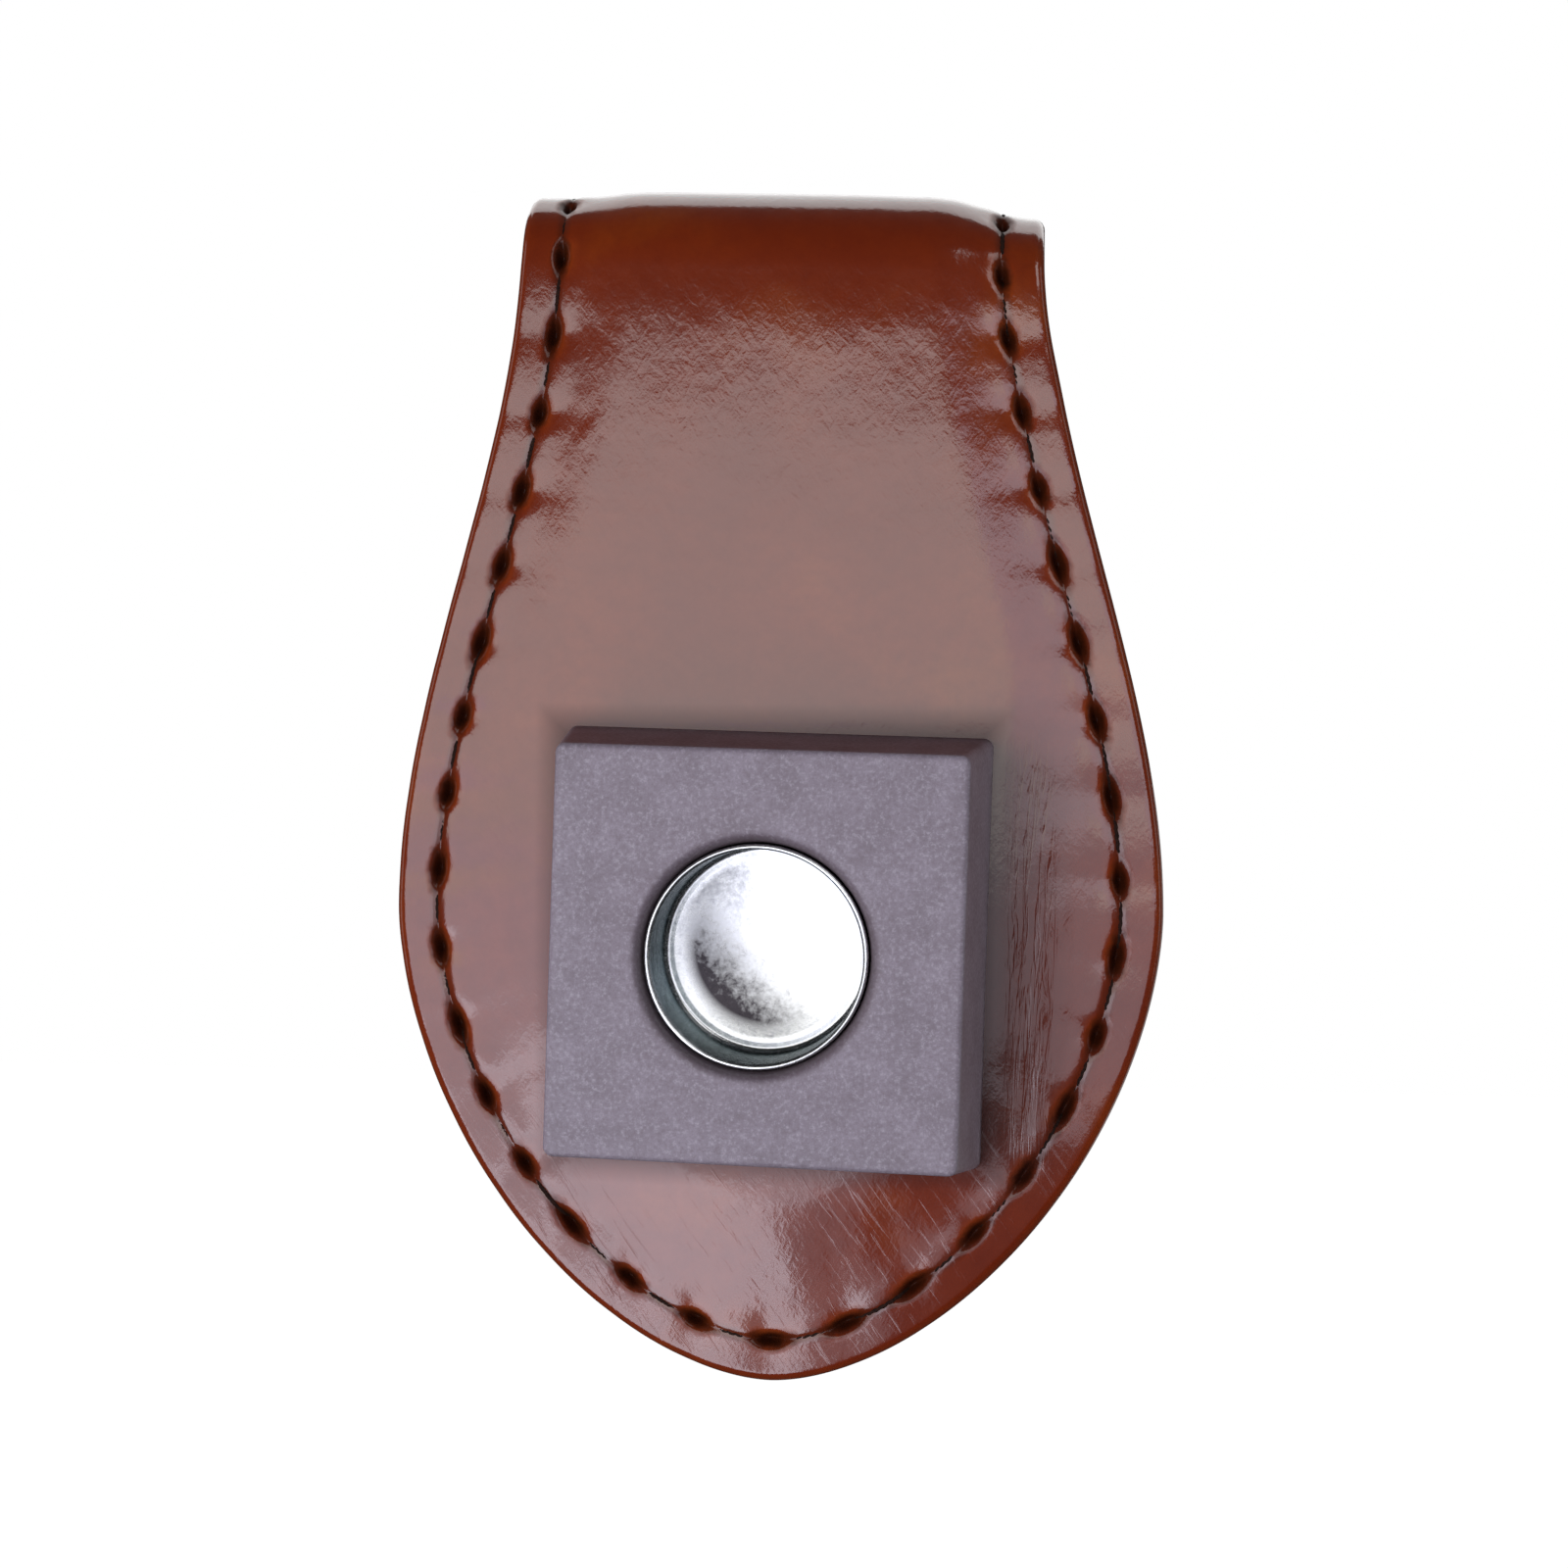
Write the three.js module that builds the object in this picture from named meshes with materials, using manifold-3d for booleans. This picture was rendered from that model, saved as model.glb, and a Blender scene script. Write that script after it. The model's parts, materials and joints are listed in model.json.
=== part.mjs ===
// A folded leather clip that carries a square seat block with a round metal-lined socket.
// Millimetres, +Z up. The clip hangs from a belt or strap: the origin is the inside top of its fold.
// The front flap faces -Y and the back flap faces +Y. Layer heights are measured outward from the
// middle plane of the gap between the flaps, and panel shapes are drawn with the fold axis at y = 0.
import * as THREE from 'three';
import { mergeVertices } from 'three/addons/utils/BufferGeometryUtils.js';
import Module from 'manifold-3d';

const wasm = await Module();
wasm.setup();

// Outline of each flap, measured down from the top of the fold.
const OVERALL_HEIGHT = 69;
const FOLD_HALF_WIDTH = 15;
const BULB_HALF_WIDTH = 22;
const FLARE_START = 3;
const BULB_DEPTH = 42;
const BULB_POWER = 1.75;

// Layers, as [inner, outer] heights from the middle plane.
const OUTER_RADIUS = 5.5;
const INNER_RADIUS = 2.5;
const LEATHER_CROWN = [4.5, OUTER_RADIUS];
const LEATHER_RIM = [3.4, 5.0];
const PADDING = [3.25, 4.25];
const LINING_CROWN = [INNER_RADIUS, 3.0];
const LINING_RIM = [2.85, 3.15];
const CROWN_BEVEL = 0.4;

// Insets from the outline.
const SEAM_INSET = 2.4;
const CROWN_INSET = 3.0;
const POCKET_INSET = 3.2;
const PADDING_INSET = 3.45;
const END_CLEARANCE = 0.15;

// Threads.
const THREAD_RADIUS = 0.3;
const THREAD_HEIGHT = 5.5;
const BOBBIN_RADIUS = 0.25;
const BOBBIN_HEIGHT = 2.4;

// Seat block and its bore.
const BLOCK_CENTRE_DEPTH = 44;
const BLOCK_BASE = 5.8;
const BLOCK_THICKNESS = 8.5;
const BLOCK_BASE_WIDTH = 24.4;
const BLOCK_FACE_WIDTH = 22.2;
const BLOCK_CORNER_RADIUS = 0.9;
const BLOCK_EDGE_BEVEL = 0.3;
const BORE_RADIUS = 6.25;
const BORE_CHAMFER = 0.5;

// Drawn cup in the bore.
const CUP_INNER_RADIUS = 5.75;
const CUP_OUTER_RADIUS = 6.05;
const CUP_LIP_DROP = 0.45;
const CUP_UNDERSIDE = 6.5;
const CUP_FLOOR = 7.1;
const CUP_FILLET = 0.8;
const CUP_CORNER = 0.7;
const CUP_DISH = 0.25;

// Rivet under the cup, with its washer, and the magnets around it.
const RIVET_FLANGE_RADIUS = 4.5;
const RIVET_FLANGE = [5.8, 6.2];
const RIVET_SHANK_RADIUS = 1.5;
const RIVET_CLINCH_RADIUS = 2.3;
const RIVET_CLINCH = [3.3, 3.55];
const RIVET_HOLE_RADIUS = 1.8;
const WASHER_RADIUS = 3.6;
const WASHER = [3.85, 4.2];
const MAGNET_RADIUS = 8.0;
const MAGNET_BORE_RADIUS = 4.2;
const MAGNET_HOLE_RADIUS = 8.25;

const ROUND_SEGMENTS = 32;
const THREAD_SIDES = 6;

const foldAxisZ = -INNER_RADIUS;
const blockY = OUTER_RADIUS - BLOCK_CENTRE_DEPTH;
const blockFace = BLOCK_BASE + BLOCK_THICKNESS;

// ---- Solids -------------------------------------------------------------------------------

function toSolid(geometry) {
  const bare = geometry.clone();
  bare.deleteAttribute('normal');
  bare.deleteAttribute('uv');
  const merged = mergeVertices(bare, 1e-4);
  return new wasm.Manifold(new wasm.Mesh({
    numProp: 3,
    vertProperties: new Float32Array(merged.attributes.position.array),
    triVerts: new Uint32Array(merged.index.array),
  }));
}

function toGeometry(solid) {
  const mesh = solid.getMesh();
  const geometry = new THREE.BufferGeometry();
  geometry.setAttribute('position', new THREE.BufferAttribute(mesh.vertProperties, 3));
  geometry.setIndex(new THREE.BufferAttribute(mesh.triVerts, 1));
  geometry.computeVertexNormals();
  return geometry;
}

// ---- The flap's outline -------------------------------------------------------------------

// Points down the right-hand edge, from the fold axis to the middle of the bottom: a smooth flare
// to the widest place, then a quarter of a superellipse.
function rightEdge() {
  const points = [];
  const flareSteps = 14;
  for (let step = 0; step < flareSteps; step += 1) {
    const depth = THREE.MathUtils.lerp(OUTER_RADIUS, BULB_DEPTH, step / flareSteps);
    const flare = THREE.MathUtils.smoothstep(depth, FLARE_START, BULB_DEPTH);
    const across = THREE.MathUtils.lerp(FOLD_HALF_WIDTH, BULB_HALF_WIDTH, flare);
    points.push(new THREE.Vector2(across, OUTER_RADIUS - depth));
  }
  const bulbSteps = 16;
  for (let step = 0; step < bulbSteps; step += 1) {
    const angle = (Math.PI / 2) * (step / bulbSteps);
    const across = BULB_HALF_WIDTH * Math.cos(angle) ** (2 / BULB_POWER);
    const down = (OVERALL_HEIGHT - BULB_DEPTH) * Math.sin(angle) ** (2 / BULB_POWER);
    points.push(new THREE.Vector2(across, OUTER_RADIUS - BULB_DEPTH - down));
  }
  points.push(new THREE.Vector2(0, OUTER_RADIUS - OVERALL_HEIGHT));
  return points;
}

// The whole edge, left to right round the bottom, moved inward by an inset.
function edge(inset) {
  const right = rightEdge();
  const left = right.slice(0, -1).map((point) => new THREE.Vector2(-point.x, point.y));
  const whole = [...left, ...right.reverse()];
  return whole.map((point, index) => {
    const before = whole[Math.max(index - 1, 0)];
    const after = whole[Math.min(index + 1, whole.length - 1)];
    const along = after.clone().sub(before).normalize();
    const inward = new THREE.Vector2(-along.y, along.x);
    if (before === point || after === point) inward.set(-Math.sign(point.x), 0);
    return point.clone().addScaledVector(inward, inset);
  });
}

// A closed shape inside the edge, whose flat top is at the given height.
function flapShape(inset, top = -END_CLEARANCE) {
  const points = edge(inset);
  points[0].y = top;
  points[points.length - 1].y = top;
  return new THREE.Shape(points);
}

// ---- Placing layers -----------------------------------------------------------------------

// Extrudes a shape between two layer heights and stands it up on the front flap.
function layer(shape, [low, high], bevel = 0) {
  const geometry = new THREE.ExtrudeGeometry(shape, {
    depth: high - low - 2 * bevel,
    bevelEnabled: bevel > 0,
    bevelThickness: bevel,
    bevelSize: bevel,
    bevelOffset: -bevel,
    bevelSegments: 2,
  });
  return geometry.translate(0, 0, low + bevel).rotateX(Math.PI / 2);
}

// Turns a closed profile of [radius, height] points about the seat's axis on the front flap.
function turned(profile) {
  const points = profile.map(([radius, height]) => new THREE.Vector2(radius, height));
  const geometry = new THREE.LatheGeometry(points, ROUND_SEGMENTS);
  return geometry.rotateX(Math.PI).translate(0, 0, blockY);
}

function ring(inner, outer, [low, high]) {
  return turned([[inner, low], [outer, low], [outer, high], [inner, high], [inner, low]]);
}

function disc(radius, [low, high]) {
  return turned([[0, low], [radius, low], [radius, high], [0, high]]);
}

// A round thread along a list of points.
function thread(points, radius) {
  const section = new THREE.Shape();
  for (let side = 0; side < THREAD_SIDES; side += 1) {
    const angle = (2 * Math.PI * side) / THREAD_SIDES;
    const corner = [radius * Math.cos(angle), radius * Math.sin(angle)];
    if (side === 0) section.moveTo(...corner);
    else section.lineTo(...corner);
  }
  return new THREE.ExtrudeGeometry(section, {
    steps: points.length,
    extrudePath: new THREE.CatmullRomCurve3(points),
  });
}

// ---- Layers of a flap ---------------------------------------------------------------------

function leatherPanel(holeRadius) {
  const rim = toSolid(layer(flapShape(0), LEATHER_RIM));
  const crown = toSolid(layer(flapShape(CROWN_INSET), [LEATHER_RIM[0], LEATHER_CROWN[1]], CROWN_BEVEL));
  const pocket = toSolid(layer(flapShape(POCKET_INSET, 1), [0, LEATHER_CROWN[0]]));
  const panel = rim.add(crown).subtract(pocket);
  if (!holeRadius) return toGeometry(panel);
  return toGeometry(panel.subtract(toSolid(disc(holeRadius, [0, OVERALL_HEIGHT]))));
}

function liningPanel() {
  const rim = toSolid(layer(flapShape(0), LINING_RIM));
  const crown = toSolid(layer(flapShape(CROWN_INSET), LINING_CROWN));
  const pocket = toSolid(layer(flapShape(POCKET_INSET, 1), [LINING_CROWN[1], OVERALL_HEIGHT]));
  return toGeometry(rim.add(crown).subtract(pocket));
}

function paddingPanel() {
  const pad = toSolid(layer(flapShape(PADDING_INSET), PADDING));
  return toGeometry(pad.subtract(toSolid(disc(MAGNET_HOLE_RADIUS, [0, OVERALL_HEIGHT]))));
}

function seamThread(height, radius) {
  const points = edge(SEAM_INSET).map((point) => new THREE.Vector3(point.x, -height, point.y));
  points[0].z = -END_CLEARANCE;
  points[points.length - 1].z = -END_CLEARANCE;
  return thread(points, radius);
}

// ---- Layers of the fold -------------------------------------------------------------------

// Half a tube between two radii, from one side to the other across the fold.
function foldStrip([inner, outer], fromX, toX) {
  const shape = new THREE.Shape();
  const outerStart = Math.asin(END_CLEARANCE / outer);
  const innerStart = Math.asin(END_CLEARANCE / inner);
  shape.absarc(0, 0, outer, outerStart, Math.PI - outerStart, false);
  shape.absarc(0, 0, inner, Math.PI - innerStart, innerStart, true);
  const geometry = new THREE.ExtrudeGeometry(shape, {
    depth: toX - fromX, bevelEnabled: false, curveSegments: 20,
  });
  return toSolid(geometry.translate(0, 0, fromX).rotateX(Math.PI / 2).rotateZ(Math.PI / 2));
}

function foldSkin(rim, crown) {
  const crownHalf = FOLD_HALF_WIDTH - CROWN_INSET;
  const pocketHalf = FOLD_HALF_WIDTH - POCKET_INSET;
  const middle = foldStrip(crown, -crownHalf, crownHalf);
  const left = foldStrip(rim, -FOLD_HALF_WIDTH, -pocketHalf);
  const right = foldStrip(rim, pocketHalf, FOLD_HALF_WIDTH);
  return toGeometry(middle.add(left).add(right));
}

function foldPadding() {
  const half = FOLD_HALF_WIDTH - PADDING_INSET;
  return toGeometry(foldStrip(PADDING, -half, half));
}

function foldThread(side, arcRadius, radius) {
  const points = [];
  const steps = 10;
  const start = Math.asin(END_CLEARANCE / arcRadius);
  for (let step = 0; step <= steps; step += 1) {
    const angle = start + (Math.PI - 2 * start) * (step / steps);
    const x = side * (FOLD_HALF_WIDTH - SEAM_INSET);
    points.push(new THREE.Vector3(x, -arcRadius * Math.cos(angle), arcRadius * Math.sin(angle)));
  }
  return thread(points, radius);
}

// ---- The seat -----------------------------------------------------------------------------

function roundedSquare(width, radius) {
  const half = width / 2;
  const flat = half - radius;
  const shape = new THREE.Shape();
  shape.absarc(flat, flat, radius, 0, Math.PI / 2, false);
  shape.absarc(-flat, flat, radius, Math.PI / 2, Math.PI, false);
  shape.absarc(-flat, -flat, radius, Math.PI, 1.5 * Math.PI, false);
  shape.absarc(flat, -flat, radius, 1.5 * Math.PI, 2 * Math.PI, false);
  return shape;
}

// A square block that narrows towards its face, with a chamfered bore right through.
function seatBlock() {
  const geometry = new THREE.ExtrudeGeometry(roundedSquare(BLOCK_BASE_WIDTH, BLOCK_CORNER_RADIUS), {
    depth: BLOCK_THICKNESS - 2 * BLOCK_EDGE_BEVEL,
    bevelThickness: BLOCK_EDGE_BEVEL,
    bevelSize: BLOCK_EDGE_BEVEL,
    bevelOffset: -BLOCK_EDGE_BEVEL,
    bevelSegments: 2,
    curveSegments: 5,
  });
  geometry.translate(0, 0, BLOCK_EDGE_BEVEL);
  const narrowing = 1 - BLOCK_FACE_WIDTH / BLOCK_BASE_WIDTH;
  const position = geometry.attributes.position;
  for (let index = 0; index < position.count; index += 1) {
    const scale = 1 - narrowing * (position.getZ(index) / BLOCK_THICKNESS);
    position.setXY(index, position.getX(index) * scale, position.getY(index) * scale);
  }
  geometry.translate(0, blockY, BLOCK_BASE).rotateX(Math.PI / 2);
  const bore = turned([
    [0, 0], [BORE_RADIUS, 0], [BORE_RADIUS, blockFace - BORE_CHAMFER],
    [BORE_RADIUS + 2 * BORE_CHAMFER, blockFace + BORE_CHAMFER], [0, blockFace + BORE_CHAMFER],
  ]);
  return toGeometry(toSolid(geometry).subtract(toSolid(bore)));
}

function socketCup() {
  const lip = blockFace - CUP_LIP_DROP;
  const profile = [[0, CUP_UNDERSIDE]];
  const arcSteps = 4;
  for (let step = 0; step <= arcSteps; step += 1) {
    const angle = -Math.PI / 2 + (Math.PI / 2) * (step / arcSteps);
    profile.push([
      CUP_OUTER_RADIUS - CUP_CORNER + CUP_CORNER * Math.cos(angle),
      CUP_UNDERSIDE + CUP_CORNER + CUP_CORNER * Math.sin(angle),
    ]);
  }
  profile.push([CUP_OUTER_RADIUS, lip], [CUP_INNER_RADIUS, lip]);
  const floorRadius = CUP_INNER_RADIUS - CUP_FILLET;
  for (let step = 0; step <= arcSteps; step += 1) {
    const angle = -(Math.PI / 2) * (step / arcSteps);
    profile.push([
      floorRadius + CUP_FILLET * Math.cos(angle),
      CUP_FLOOR + CUP_FILLET + CUP_FILLET * Math.sin(angle),
    ]);
  }
  const dishSteps = 4;
  for (let step = 1; step <= dishSteps; step += 1) {
    const radius = floorRadius * (1 - step / dishSteps);
    profile.push([radius, CUP_FLOOR - CUP_DISH * (1 - (radius / floorRadius) ** 2)]);
  }
  return turned(profile);
}

function cupRivet() {
  return turned([
    [0, RIVET_CLINCH[0]],
    [RIVET_CLINCH_RADIUS, RIVET_CLINCH[0]],
    [RIVET_CLINCH_RADIUS, RIVET_CLINCH[1]],
    [RIVET_SHANK_RADIUS, RIVET_CLINCH[1]],
    [RIVET_SHANK_RADIUS, RIVET_FLANGE[0]],
    [RIVET_FLANGE_RADIUS, RIVET_FLANGE[0]],
    [RIVET_FLANGE_RADIUS, RIVET_FLANGE[1]],
    [0, RIVET_FLANGE[1]],
  ]);
}

// ---- Materials and assembly ---------------------------------------------------------------

const leatherFinish = { color: 0x6a3016, roughness: 0.35, metalness: 0 };
const paddingFinish = { color: 0xd8cdb4, roughness: 0.95, metalness: 0 };
const liningFinish = { color: 0x4a2a1a, roughness: 0.9, metalness: 0 };
const threadFinish = { color: 0x24140e, roughness: 0.8, metalness: 0 };
const blockFinish = { color: 0x897a82, roughness: 0.6, metalness: 0 };
const nickelFinish = { color: 0xd9dcdf, roughness: 0.2, metalness: 1 };
const steelFinish = { color: 0x9a9a9c, roughness: 0.4, metalness: 1 };

function part(name, geometry, finish) {
  const mesh = new THREE.Mesh(geometry, new THREE.MeshStandardMaterial(finish));
  mesh.name = name;
  return mesh;
}

function seat() {
  const group = new THREE.Group();
  group.add(part('seat_block', seatBlock(), blockFinish));
  group.add(part('socket_cup', socketCup(), nickelFinish));
  group.add(part('cup_rivet', cupRivet(), steelFinish));
  group.add(part('rivet_washer', ring(RIVET_HOLE_RADIUS, WASHER_RADIUS, WASHER), steelFinish));
  return group;
}

function flap(side, magnet, holeRadius) {
  const group = new THREE.Group();
  group.add(part(`${side}_leather`, leatherPanel(holeRadius), leatherFinish));
  group.add(part(`${side}_padding`, paddingPanel(), paddingFinish));
  group.add(part(`${side}_lining`, liningPanel(), liningFinish));
  group.add(part(`${side}_thread`, seamThread(THREAD_HEIGHT, THREAD_RADIUS), threadFinish));
  group.add(part(`${side}_bobbin_thread`, seamThread(BOBBIN_HEIGHT, BOBBIN_RADIUS), threadFinish));
  group.add(part(`${side}_magnet`, magnet, nickelFinish));
  return group;
}

function fold() {
  const group = new THREE.Group();
  group.add(part('fold_leather', foldSkin(LEATHER_RIM, LEATHER_CROWN), leatherFinish));
  group.add(part('fold_padding', foldPadding(), paddingFinish));
  group.add(part('fold_lining', foldSkin(LINING_RIM, LINING_CROWN), liningFinish));
  for (const [name, side] of [['left', -1], ['right', 1]]) {
    const outer = foldThread(side, THREAD_HEIGHT, THREAD_RADIUS);
    const inner = foldThread(side, BOBBIN_HEIGHT, BOBBIN_RADIUS);
    group.add(part(`fold_thread_${name}`, outer, threadFinish));
    group.add(part(`fold_bobbin_thread_${name}`, inner, threadFinish));
  }
  return group;
}

const clip = new THREE.Group();
clip.position.z = foldAxisZ;
clip.add(flap('front', ring(MAGNET_BORE_RADIUS, MAGNET_RADIUS, PADDING), RIVET_HOLE_RADIUS));
clip.add(seat());
clip.add(fold());

// The back flap is the front flap's twin, turned to face the other way.
const backFlap = flap('back', disc(MAGNET_RADIUS, PADDING), 0);
backFlap.rotation.z = Math.PI;
clip.add(backFlap);

export default clip;
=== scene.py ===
"""A folded leather clip with a square seat block and a round metal-lined socket: its looks.

Lengths in the shape code are millimetres, as in the part's source; MM turns them into metres at the end.
The strap is described in its own coordinates: x across, s along the outer face (0 at the front end of the
fold, negative down the front flap, past FOLD_LENGTH down the back flap), and height outward from the middle
plane between the flaps. Light sizes and distances are in metres.
"""
import json
import math

import bmesh
import bpy
import numpy as np
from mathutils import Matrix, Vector, noise


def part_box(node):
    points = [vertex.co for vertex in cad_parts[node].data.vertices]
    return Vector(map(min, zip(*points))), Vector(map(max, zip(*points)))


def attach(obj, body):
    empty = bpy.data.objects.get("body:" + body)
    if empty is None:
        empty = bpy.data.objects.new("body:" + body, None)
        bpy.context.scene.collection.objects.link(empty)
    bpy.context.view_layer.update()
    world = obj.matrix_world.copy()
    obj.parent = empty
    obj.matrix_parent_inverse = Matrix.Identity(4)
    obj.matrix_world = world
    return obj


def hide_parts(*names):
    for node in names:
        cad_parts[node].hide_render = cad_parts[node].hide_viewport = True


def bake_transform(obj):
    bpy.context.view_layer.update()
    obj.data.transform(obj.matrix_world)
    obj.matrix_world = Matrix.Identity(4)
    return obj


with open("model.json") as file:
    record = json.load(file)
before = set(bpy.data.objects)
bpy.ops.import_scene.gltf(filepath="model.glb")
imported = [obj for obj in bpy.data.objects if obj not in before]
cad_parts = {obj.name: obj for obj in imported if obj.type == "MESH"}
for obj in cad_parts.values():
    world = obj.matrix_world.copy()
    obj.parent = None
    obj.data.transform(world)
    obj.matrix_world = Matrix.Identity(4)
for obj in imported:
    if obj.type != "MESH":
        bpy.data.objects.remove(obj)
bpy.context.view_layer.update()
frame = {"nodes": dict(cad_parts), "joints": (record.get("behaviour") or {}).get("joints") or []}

MM = 0.001
rng = np.random.default_rng(7)


def corner(node, which):
    """A CAD node's lowest (0) or highest (1) corner, in millimetres."""
    return Vector(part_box(node)[which]) / MM


# ---- Sizes -----------------------------------------------------------------------------------

# Measured from the frame's nodes. AXIS_Z is the height of the fold's own axis, BOTTOM is the flaps' lower end
# below it, and BLOCK_V is the seat's axis below it. OUTER, BLOCK_FACE and CUP_LIP are heights outward.
AXIS_Z = frame["joints"][0]["pos_m"][2] / MM
FOLD_HALF = corner("fold_leather", 1).x
OUTER = -corner("fold_leather", 0).y
BULB_HALF = corner("front_leather", 1).x
BOTTOM = corner("front_leather", 0).z - AXIS_Z
FOLD_LENGTH = math.pi * OUTER
BLOCK_LOW = corner("seat_block", 0)
BLOCK_HIGH = corner("seat_block", 1)
BLOCK_HALF = BLOCK_HIGH.x
BLOCK_V = (BLOCK_LOW.z + BLOCK_HIGH.z) / 2 - AXIS_Z
BLOCK_FACE = -BLOCK_LOW.y
CUP_OUTER = corner("socket_cup", 1).x
CUP_LIP = -corner("socket_cup", 0).y

# Chosen here: where the strap widens and how its bulb is rounded, the seam's distance inside the edge and the
# leather's height at the edge, and the block's and the cup's own details.
FLARE_START = 3.0
BULB_DEPTH = 42.0
BULB_POWER = 1.75
SEAM = 2.4
RIM = 5.0
BLOCK_SEAT = OUTER - 0.12
BLOCK_TWIST = math.radians(-1.4)
FACE_HALF = 11.1
BORE = 6.12
MOUTH_WIDTH = 0.62
MOUTH_DEPTH = 1.2
CUP_FLOOR = 8.2

# ---- The strap's outline and its grid of rows and columns ------------------------------------


def smooth(t):
    """0 below 0, 1 above 1, and an S-curve between."""
    t = np.clip(t, 0, 1)
    return t * t * (3 - 2 * t)


def half_width(depth):
    """Half the strap's width at a depth below the top of the fold, down to the bulb."""
    return FOLD_HALF + (BULB_HALF - FOLD_HALF) * smooth((depth - FLARE_START) / (BULB_DEPTH - FLARE_START))


def resample(points, step):
    """The polyline at even steps of about that length."""
    length = np.concatenate([[0], np.cumsum(np.hypot(*np.diff(points, axis=0).T))])
    count = int(round(length[-1] / step))
    at = np.linspace(0, length[-1], count + 1)
    return np.stack([np.interp(at, length, points[:, k]) for k in (0, 1)], 1)


def front_edge(step):
    """The right-hand edge in (x, s), from the top of the fold to the middle of the front flap's bottom."""
    top = FOLD_LENGTH / 2
    in_fold = np.linspace(top, 0, 60)
    fold_depth = OUTER - OUTER * np.sin(in_fold / OUTER)
    down = np.linspace(0, BULB_DEPTH - OUTER, 200)[1:]
    turn = np.linspace(0, math.pi / 2, 400)[1:]
    drop = -BOTTOM + OUTER - BULB_DEPTH
    bulb_x = BULB_HALF * np.cos(turn) ** (2 / BULB_POWER)
    bulb_s = OUTER - BULB_DEPTH - drop * np.sin(turn) ** (2 / BULB_POWER)
    x = np.concatenate([half_width(fold_depth), half_width(down + OUTER), bulb_x])
    s = np.concatenate([in_fold, -down, bulb_s])
    x[-1] = 0
    return resample(np.stack([x, s], 1), step)


def whole_edge(step):
    """The right-hand edge from the back flap's bottom, over the fold, to the front flap's bottom."""
    front = front_edge(step)
    back = front[:0:-1].copy()
    back[:, 1] = FOLD_LENGTH - back[:, 1]
    return np.concatenate([back, front])


def spine(s):
    """Where on the middle line each edge point's row starts: level with it, but gathered behind the block."""
    front = np.minimum(s, FOLD_LENGTH - s)
    start = BLOCK_V + (BLOCK_V - BOTTOM) / 2
    reach = start - BOTTOM
    tau = np.clip((start - front) / reach, 0, 1)
    gathered = start - (reach / 3) * (1 - (1 - tau) ** 3)
    level = np.where(front > start, front, gathered)
    return np.where(s > FOLD_LENGTH / 2, FOLD_LENGTH - level, level)


class Rows:
    """Rows from the middle line to the right-hand edge, at every step along the edge."""

    def __init__(self, step):
        self.edge = whole_edge(step)
        self.middle = np.stack([np.zeros(len(self.edge)), spine(self.edge[:, 1])], 1)
        inward = self.middle - self.edge
        self.length = np.hypot(*inward.T)
        self.inward = inward / self.length[:, None]
        along = np.gradient(self.edge, axis=0)
        along[0] = along[-1] = (1, 0)
        along /= np.hypot(*along.T)[:, None]
        self.slant = np.abs(self.inward[:, 0] * along[:, 1] - self.inward[:, 1] * along[:, 0])
        self.depth = self.length * self.slant
        seam = self.at(np.full(len(self.edge), SEAM))
        run = np.concatenate([[0], np.cumsum(np.hypot(*np.diff(seam, axis=0).T))])
        top = np.argmax(np.abs(self.edge[:, 1] - FOLD_LENGTH / 2) < 1e-6)
        self.run = run - run[top]

    def at(self, inset):
        """The point of each row at that distance inside the edge."""
        return self.edge + self.inward * (inset / self.slant)[:, None]


# Stitch length, and where along the seam from the fold's top the first holes of each flap are.
STITCH = 4.4
FIRST_FRONT = 3.4
FIRST_BACK = -1.0


def stitch_holes(rows):
    """Where along the seam the holes are, so that one falls in the middle of each flap's bottom."""
    front_run, back_run = rows.run[-1], -rows.run[0]
    front = round((front_run - FIRST_FRONT) / STITCH)
    back = round((back_run + FIRST_BACK) / STITCH)
    return np.concatenate([
        np.linspace(-back_run, FIRST_BACK, back + 1),
        np.linspace(FIRST_FRONT, front_run, front + 1),
    ])


# The drooping fold: how far down the sag is felt, its amount in the middle and its slope across, and the
# extra drop of the right corner, with where that begins and how wide it is.
SAG_DEPTH = 10
SAG_MIDDLE = 0.22
SAG_LEAN = 0.033
CORNER_DROOP = 0.75
CORNER_START = 9.5
CORNER_WIDTH = 5


def place(x, s, height):
    """Strap coordinates to the frame's x, y and z, in millimetres."""
    angle = np.clip(s / FOLD_LENGTH, 0, 1) * math.pi
    v = np.where(s < 0, s, 0) - np.where(s > FOLD_LENGTH, s - FOLD_LENGTH, 0)
    y = -height * np.cos(angle)
    z = height * np.sin(angle) + v + AXIS_Z
    near_fold = smooth((z + SAG_DEPTH) / (SAG_DEPTH - 1))
    return np.stack([x + 0 * y, y, z - fold_sag(x) * near_fold], -1)


def fold_sag(x):
    """How far the top of the fold has dropped: it leans to the right and its right corner droops."""
    return SAG_MIDDLE + SAG_LEAN * x + CORNER_DROOP * smooth((x - CORNER_START) / CORNER_WIDTH)


def bump(t):
    """1 at 0, falling smoothly to nothing by about 2."""
    return np.exp(-(t * t))


def noise_at(points, seed):
    """Smooth noise of about -1 to 1 at an (n, 2) array of points, in cells of one unit."""
    return np.array([noise.noise(Vector((p[0], p[1], seed * 7.31))) for p in points])


# ---- Meshes ----------------------------------------------------------------------------------


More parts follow.
